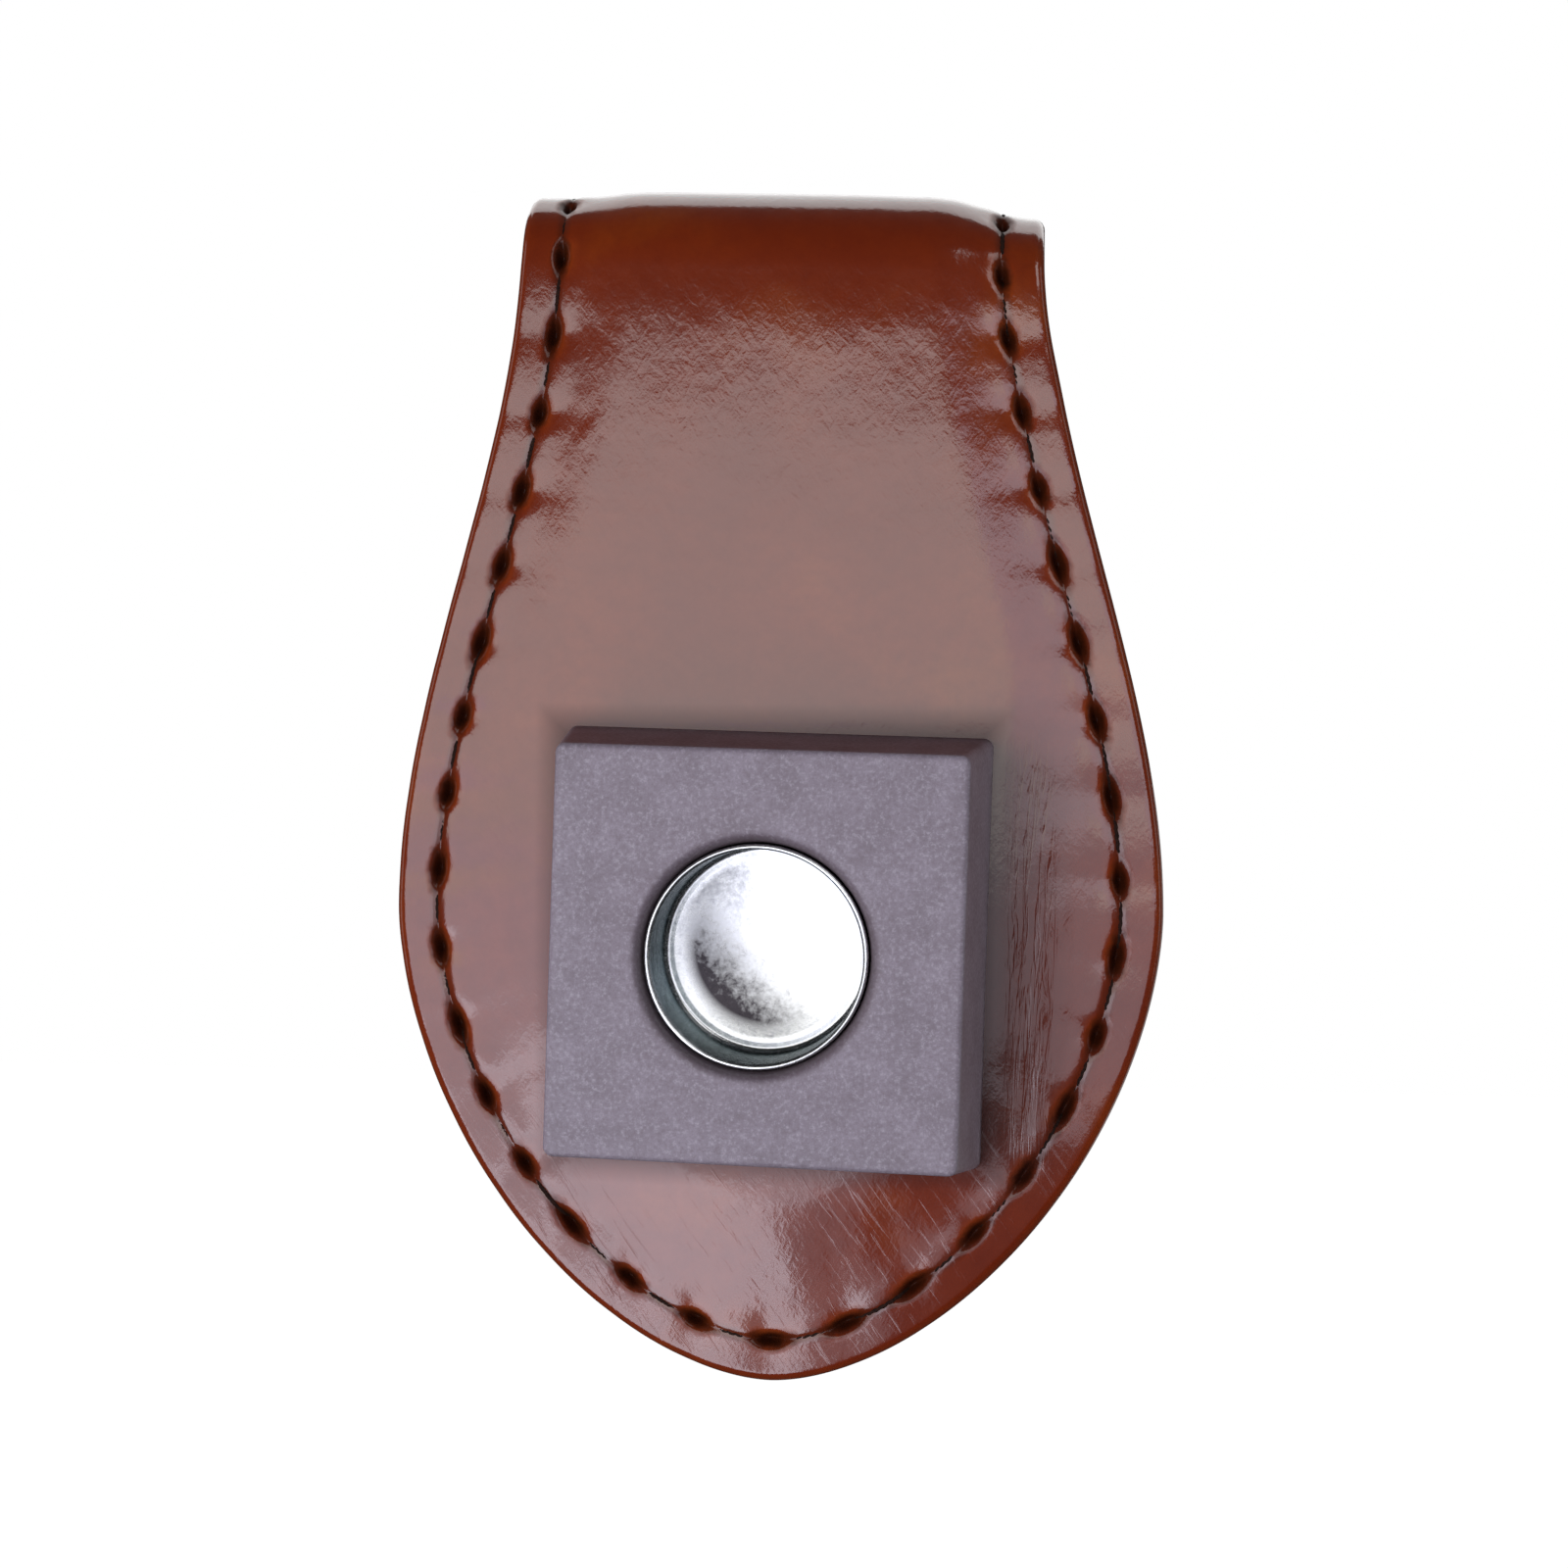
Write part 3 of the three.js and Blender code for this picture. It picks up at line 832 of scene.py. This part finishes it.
def leather_material():
    """Glossy finished leather, dull and with painted shade in its stitch pits and beside the block.

    Its relief is pores, slanting strokes, scratches below the block and upright cracks beside it.
    """
    n = Nodes("leather")
    at = n.strap()
    inset = n.value("inset")
    to_hole = n.value("to_hole")
    cloud = n.noise(at, 0.11, 4)
    fine = n.noise(at, 0.9, 5, 0.6)
    body = n.ramp(cloud, ((0.30, LEATHER_DEEP), (0.55, LEATHER_BODY), (0.75, LEATHER_LIGHT)))
    body = n.mix(n.remap(fine, 0.35, 0.75, 0, 0.45), body, LEATHER_BLOTCH)

    # The seam: away is the distance to its line and to_hole the distance along it, both made uneven.
    blot = n.math("MULTIPLY_ADD", n.noise(at, 1.7, 2), 0.8, -0.4)
    to_hole = n.math("ADD", to_hole, blot)
    away = n.math("ADD", n.math("ABSOLUTE", n.math("SUBTRACT", inset, SEAM)), n.times(blot, 0.35))
    near_hole = n.times(n.remap(away, 0.2, 1.1, 1, 0), n.remap(to_hole, 0.5, 1.4, 1, 0))
    inner_side = n.remap(inset, SEAM - 0.2, SEAM + 0.5, 0.1, 0.5)
    # A painted orange highlight on the inner side of each stitch hole.
    body = n.mix(n.times(near_hole, inner_side), body, HOLE_HIGHLIGHT)
    along = n.math("POWER", n.math("DIVIDE", n.math("MAXIMUM", to_hole, 0), PIT_HALF_LENGTH), 2)
    aside = n.math("POWER", n.math("DIVIDE", n.math("MAXIMUM", away, 0), PIT_HALF_WIDTH), 2)
    from_pit = n.math("ADD", along, aside)
    body = n.mix(n.remap(away, 0.15, 0.5, 0.6, 0), body, SEAM_LINE)
    # Painted shade: the stitch holes are darkened.
    body = n.mix(n.remap(from_pit, 0.2, 2.3, 1, 0), body, PIT_SHADE)

    # Round the block: painted shade close to it, and a painted plum shadow that the block casts to its right.
    parts = n.add("SeparateXYZ", {"Vector": at}).outputs
    across, down = parts["X"], parts["Y"]
    block_across = n.math("ABSOLUTE", across)
    block_down = n.math("ABSOLUTE", n.math("SUBTRACT", down, BLOCK_V))
    shade = n.remap(n.math("MAXIMUM", block_across, block_down), BLOCK_HALF - 0.3, BLOCK_HALF + 1.6, 1, 0)
    body = n.mix(n.times(shade, 0.8), body, BLOCK_SHADE)
    # The painted plum shadow to the right of the block.
    beside = n.times(n.remap(across, BLOCK_HALF + 1, BLOCK_HALF + 5, 1, 0), n.remap(across, 0, 4, 0, 1))
    beside = n.times(beside, n.remap(block_down, BLOCK_HALF - 2, BLOCK_HALF + 2, 1, 0))
    body = n.mix(n.times(beside, 0.5), body, BLOCK_SHADOW_RIGHT)
    body = n.mix(n.times(n.remap(inset, 0.05, 0.42, 1, 0), 0.5), body, EDGE_PAINT)
    dull = n.remap(from_pit, 0.6, 3.4, 0.9, 0)
    dull = n.math("MAXIMUM", dull, n.times(shade, 0.6))
    dull = n.math("MAXIMUM", dull, n.times(beside, 0.35))

    # The relief.
    pores = n.noise(at, 6.5, 2, 0.5)
    falling = n.noise(n.stretched(at, (2.9, 1.0, 1), 0.5), 1.0, 2, 0.5, 0.3)
    rising = n.noise(n.stretched(at, (2.9, 1.1, 1), -0.6), 1.0, 2, 0.5, 0.3)
    strokes = n.math("MAXIMUM", falling, rising)
    relief = n.math("ADD", n.times(strokes, 0.6), n.times(pores, 0.16))
    relief = n.math("ADD", relief, n.times(n.noise(at, 0.55, 2), 0.8))
    worn = n.remap(down, BLOCK_V - BLOCK_HALF + 4, BLOCK_V - BLOCK_HALF - 2, 0, 0.7)
    scratch = n.remap(n.noise(n.stretched(at, (0.2, 3.0, 1), 0.96), 1.0, 3, 0.6, 1.2), 0.60, 0.72, 0, 1)
    relief = n.math("ADD", relief, n.times(scratch, worn))
    crackled = n.times(n.near(across, BLOCK_HALF + 2.4, 0.2, 1.6), n.near(down, BLOCK_V - 0.5, 9, 13))
    cracks = n.noise(n.stretched(at, (1.9, 0.14, 1), 0.04), 1.0, 3, 0.6, 0.5)
    cracks = n.remap(n.math("ABSOLUTE", n.math("SUBTRACT", cracks, 0.5)), 0.0, 0.07, 1, 0)
    relief = n.math("SUBTRACT", relief, n.times(n.times(cracks, crackled), 1.1))
    n.set(
        Base_Color=body,
        Roughness=n.remap(fine, 0.3, 0.7, 0.50, 0.62),
        Specular_IOR_Level=0.08,
        Coat_Weight=n.math("SUBTRACT", 1.0, dull),
        Coat_Roughness=0.125,
        Coat_IOR=1.8,
        Normal=n.bump(relief, 0.18, 0.00015),
        Coat_Normal=n.bump(relief, 0.14, 0.00015),
    )
    return n.material


def lining_material():
    """Matt split leather: short nap with darker and lighter patches."""
    n = Nodes("lining")
    at = n.strap()
    nap = n.noise(at, 5.0, 4, 0.7)
    patch = n.noise(at, 0.25, 3)
    colour = n.ramp(patch, ((0.3, (0.045, 0.016, 0.008)), (0.7, (0.085, 0.034, 0.018))))
    colour = n.mix(n.remap(nap, 0.3, 0.8, 0, 0.6), colour, (0.13, 0.060, 0.034))
    n.set(
        Base_Color=colour,
        Roughness=n.remap(nap, 0.2, 0.8, 0.78, 0.95),
        Specular_IOR_Level=0.2,
        Sheen_Weight=0.25,
        Sheen_Roughness=0.45,
        Normal=n.bump(nap, 0.55, 0.00012),
    )
    return n.material


def thread_material():
    """Dark, dull twisted thread."""
    n = Nodes("thread")
    at = n.place()
    fibre = n.noise(at, 9000, 3, 0.6)
    colour = n.ramp(fibre, ((0.35, (0.008, 0.003, 0.002)), (0.7, (0.034, 0.014, 0.009))))
    n.set(
        Base_Color=colour,
        Roughness=n.remap(fibre, 0.3, 0.7, 0.6, 0.8),
        Specular_IOR_Level=0.12,
        Normal=n.bump(fibre, 0.4, 0.00003),
    )
    return n.material


def block_material():
    """Moulded plastic with a fine satin sparkle, and painted shade in the mouth of the bore."""
    n = Nodes("block")
    at = n.place()
    speck = n.noise(at, 5000, 3, 0.7)
    cloud = n.noise(at, 420, 4, 0.6)
    colour = n.ramp(cloud, ((0.35, (0.225, 0.185, 0.226)), (0.65, (0.285, 0.240, 0.295))))
    colour = n.mix(n.remap(speck, 0.52, 0.72, 0, 0.5), colour, (0.50, 0.46, 0.53))
    colour = n.mix(n.remap(speck, 0.48, 0.30, 0, 0.5), colour, (0.17, 0.13, 0.15))
    # Painted shade in the mouth of the bore.
    mouth = n.remap(n.seat()[2], BORE, BORE + 1.2 * MOUTH_WIDTH, 0.75, 0)
    colour = n.mix(mouth, colour, (0.060, 0.034, 0.034))
    n.set(
        Base_Color=colour,
        Roughness=n.remap(speck, 0.3, 0.7, 0.50, 0.36),
        Specular_IOR_Level=0.5,
        Normal=n.bump(speck, 0.35, 0.00003),
    )
    return n.material


def nickel_material(name, wall=None):
    """Bright nickel plate over drawn steel, a little rubbed.

    wall gives the heights of a cup's drawn wall, which is darkened with painted shade. Its floor has a
    painted dark reflection at the lower left.
    """
    n = Nodes(name)
    at = n.place()
    mottle = n.noise(at, 2400, 4, 0.7)
    large = n.noise(at, 160, 3)
    colour = n.ramp(mottle, ((0.3, (0.60, 0.61, 0.63)), (0.6, (0.84, 0.85, 0.85))))
    if wall:
        height = n.math("MULTIPLY", n.add("SeparateXYZ", {"Vector": at}).outputs["Y"], -1 / MM)
        low, high = wall
        above_floor = n.remap(height, low, low + 0.4, 0, 1)
        drawn = n.times(above_floor, n.remap(height, high, high - 0.4, 0, 1))
        # Painted shade darkens the drawn wall.
        colour = n.mix(drawn, colour, (0.150, 0.185, 0.190))
        # A painted dark reflection, mottled, on the floor at the lower left.
        right, up, away = n.seat()
        lower_left = n.times(n.math("ADD", right, up), -math.sqrt(0.5))
        lower_left = n.math("ADD", lower_left, n.math("MULTIPLY_ADD", mottle, 4.0, -2.0))
        painted_dark_reflection = n.times(n.remap(lower_left, 0.3, 3.3, 0, 1), n.remap(away, 4.8, 4.0, 0, 1))
        painted_dark_reflection = n.times(painted_dark_reflection, n.remap(height, low, low - 0.3, 0, 1))
        colour = n.mix(painted_dark_reflection, colour, (0.045, 0.040, 0.046))
        n.set(Specular_Tint=(0.45, 0.50, 0.51, 1.0))
    rubbed = n.math("ADD", n.times(mottle, 0.6), n.times(large, 0.4))
    n.set(
        Base_Color=colour,
        Metallic=1.0,
        Roughness=n.remap(rubbed, 0.35, 0.7, 0.20, 0.34),
        Normal=n.bump(mottle, 0.14, 0.00004),
    )
    return n.material


def steel_material():
    """Turned steel with a fine grain."""
    n = Nodes("steel")
    at = n.place()
    grain = n.noise(n.stretched(at, (400, 400, 5000)), 1.0, 3)
    n.set(
        Base_Color=n.ramp(grain, ((0.3, (0.42, 0.42, 0.43)), (0.7, (0.58, 0.58, 0.58)))),
        Metallic=1.0,
        Roughness=n.remap(grain, 0.3, 0.7, 0.28, 0.45),
        Normal=n.bump(grain, 0.2, 0.00004),
    )
    return n.material


def padding_material():
    """Pale felt."""
    n = Nodes("padding")
    at = n.strap()
    felt = n.noise(at, 4.0, 5, 0.75)
    n.set(
        Base_Color=n.ramp(felt, ((0.3, (0.50, 0.43, 0.31)), (0.7, (0.74, 0.67, 0.52)))),
        Roughness=n.remap(felt, 0.2, 0.8, 0.85, 0.98),
        Specular_IOR_Level=0.15,
        Normal=n.bump(felt, 0.6, 0.0002),
    )
    return n.material


def floor_material():
    """Plain white, lit from itself."""
    n = Nodes("floor")
    at = n.place()
    tone = n.noise(at, 3.0, 2)
    n.set(
        Base_Color=n.ramp(tone, ((0.3, (0.86, 0.86, 0.86)), (0.7, (0.88, 0.88, 0.88)))),
        Roughness=0.9,
        Specular_IOR_Level=0.1,
        Emission_Color=(1, 1, 1, 1),
        Emission_Strength=1.0,
    )
    return n.material


def dress(obj, material):
    obj.data.materials.clear()
    obj.data.materials.append(material)


# ---- Putting the object together -------------------------------------------------------------

rows, leather, lining, padding = build_strap()
needle = build_thread("seam_thread", rows, needle_height, radius=0.17, sides=12, steps=30)
bobbin = build_thread("bobbin_thread", rows, bobbin_height, radius=0.2, sides=8, steps=14)
block = build_block()
cup = build_cup()

thread_look = thread_material()
nickel_look = nickel_material("nickel")
steel_look = steel_material()
for piece, look in (
    (leather, leather_material()),
    (lining, lining_material()),
    (padding, padding_material()),
    (needle, thread_look),
    (bobbin, thread_look),
    (block, block_material()),
    (cup, nickel_material("cup_nickel", wall=(CUP_FLOOR + 0.3, CUP_LIP - 0.3))),
):
    dress(piece, look)
for node, look in (
    ("front_magnet", nickel_look),
    ("back_magnet", nickel_look),
    ("cup_rivet", steel_look),
    ("rivet_washer", steel_look),
):
    dress(frame["nodes"][node], look)

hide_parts("front_leather", "fold_leather", "back_leather")
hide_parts("front_lining", "fold_lining", "back_lining")
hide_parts("front_padding", "fold_padding", "back_padding")
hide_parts("front_thread", "fold_thread_left", "fold_thread_right", "back_thread")
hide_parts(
    "front_bobbin_thread", "fold_bobbin_thread_left", "fold_bobbin_thread_right", "back_bobbin_thread",
)
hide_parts("seat_block")
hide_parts("socket_cup")

for piece in (leather, lining, padding, needle, bobbin):
    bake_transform(piece)
for piece in (block, cup):
    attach(piece, "front")

# ---- Floor, light and camera -----------------------------------------------------------------

FLOOR_Z = -0.45


def build_floor():
    """A white floor far below, which sends no light back to the object."""
    mesh = bpy.data.meshes.new("floor")
    half = 3.0
    corners = [(-half, -half), (half, -half), (half, half), (-half, half)]
    mesh.from_pydata([(x, y, FLOOR_Z) for x, y in corners], [], [(0, 1, 2, 3)])
    obj = bpy.data.objects.new("floor", mesh)
    bpy.context.scene.collection.objects.link(obj)
    obj.data.materials.append(floor_material())
    obj.visible_diffuse = False
    obj.visible_glossy = False


TARGET = Vector((0, 0, (corner("fold_leather", 1).z + corner("front_leather", 0).z) / 2 * MM))


def aimed(obj, position, target=TARGET, roll=0.0):
    """Puts a light or camera at a position and points it at the target."""
    obj.location = position
    direction = target - position
    obj.rotation_euler = direction.to_track_quat("-Z", "Y").to_euler()
    if roll:
        obj.rotation_euler.rotate_axis("Z", roll)


def around(azimuth, elevation, distance):
    """A place at that bearing from the object: azimuth 0 is in front, and positive is to its right."""
    a, e = math.radians(azimuth), math.radians(elevation)
    return TARGET + distance * Vector((math.sin(a) * math.cos(e), -math.cos(a) * math.cos(e), math.sin(e)))


def soft_light(name, azimuth, elevation, width, height, radiance, colour=(1, 1, 1), distance=0.60):
    """A rectangular light aimed at the object, which the camera doesn't see."""
    data = bpy.data.lights.new(name, "AREA")
    data.shape = "RECTANGLE"
    data.color = colour
    data.size, data.size_y = width, height
    data.energy = radiance * math.pi * width * height
    obj = bpy.data.objects.new(name, data)
    bpy.context.scene.collection.objects.link(obj)
    aimed(obj, around(azimuth, elevation, distance))
    obj.visible_camera = False
    return obj


COOL = (0.96, 0.97, 1.10)


def build_lights():
    """Softboxes in front, below, beside and behind.

    Two are seen only in gloss, and those named matt light everything but are not seen in gloss.
    """
    soft_light("front_softbox_top", -17, 5.9, 0.60, 0.147, 1.95)
    soft_light("front_softbox_left", -19, -8.5, 0.36, 0.156, 1.9, COOL)
    soft_light("front_softbox_right", 10, -8.5, 0.25, 0.156, 1.0, COOL)
    soft_light("front_softbox_edge", 24, 5.9, 0.30, 0.147, 1.75, COOL)
    soft_light("low_left_softbox", -22, -27.5, 0.34, 0.27, 3.0, COOL)
    soft_light("low_middle_softbox", 0, -27.5, 0.12, 0.27, 0.6, COOL)
    soft_light("low_right_softbox", 17, -27.5, 0.22, 0.27, 0.08, COOL)
    behind = soft_light("back_softbox", 180, 49, 0.70, 0.54, 1.6, distance=0.55)
    behind.visible_diffuse = False
    glint = soft_light("high_right_glint", 38, 34, 0.24, 0.24, 1.8)
    glint.visible_diffuse = False
    soft_light("left_strip", -85, 10, 0.20, 0.50, 0.6)
    soft_light("right_strip", 85, 10, 0.20, 0.50, 0.5)
    key = soft_light("matt_key", -35, 2, 0.30, 0.30, 3.2)
    key.visible_glossy = False
    fill = soft_light("matt_fill", 40, -5, 0.30, 0.30, 0.6)
    fill.visible_glossy = False
    rear = soft_light("matt_rear", 195, 5, 0.40, 0.30, 5.0)
    rear.visible_glossy = False
    for side, azimuth in (("right", 90), ("left", -90)):
        flank = soft_light("matt_" + side, azimuth, -4, 0.30, 0.40, 1.8)
        flank.visible_glossy = False
    soft_light("rear_right_softbox", 138, -13, 0.34, 0.40, 0.5)


def build_world():
    """White where the camera looks past the object, and a faint even light everywhere else."""
    world = bpy.data.worlds.new("studio")
    bpy.context.scene.world = world
    world.use_nodes = True
    tree = world.node_tree
    tree.nodes.clear()
    output = tree.nodes.new("ShaderNodeOutputWorld")
    mix = tree.nodes.new("ShaderNodeMixShader")
    path = tree.nodes.new("ShaderNodeLightPath")
    lighting = tree.nodes.new("ShaderNodeBackground")
    lighting.inputs["Color"].default_value = (1, 1, 1, 1)
    lighting.inputs["Strength"].default_value = 0.025
    seen = tree.nodes.new("ShaderNodeBackground")
    seen.inputs["Strength"].default_value = 1.0
    seen.inputs["Color"].default_value = (1, 1, 1, 1)
    tree.links.new(path.outputs["Is Camera Ray"], mix.inputs["Fac"])
    tree.links.new(lighting.outputs[0], mix.inputs[1])
    tree.links.new(seen.outputs[0], mix.inputs[2])
    tree.links.new(mix.outputs[0], output.inputs["Surface"])


# The camera: bearing in degrees, distance in metres, how far below the middle it aims in metres, tilt in
# degrees, and lens in millimetres.
VIEW_AZIMUTH = 6.0
VIEW_ELEVATION = 0.3
VIEW_DISTANCE = 0.140
VIEW_DROP = 0.00035
VIEW_ROLL = 0.5
LENS = 54.4


def build_camera():
    data = bpy.data.cameras.new("camera")
    data.lens = LENS
    data.clip_start = 0.005
    obj = bpy.data.objects.new("camera", data)
    bpy.context.scene.collection.objects.link(obj)
    aim = TARGET - Vector((0, 0, VIEW_DROP))
    aimed(obj, around(VIEW_AZIMUTH, VIEW_ELEVATION, VIEW_DISTANCE), aim, roll=math.radians(VIEW_ROLL))
    bpy.context.scene.camera = obj
    bpy.context.scene.view_settings.view_transform = "Standard"


build_floor()
build_lights()
build_world()
build_camera()
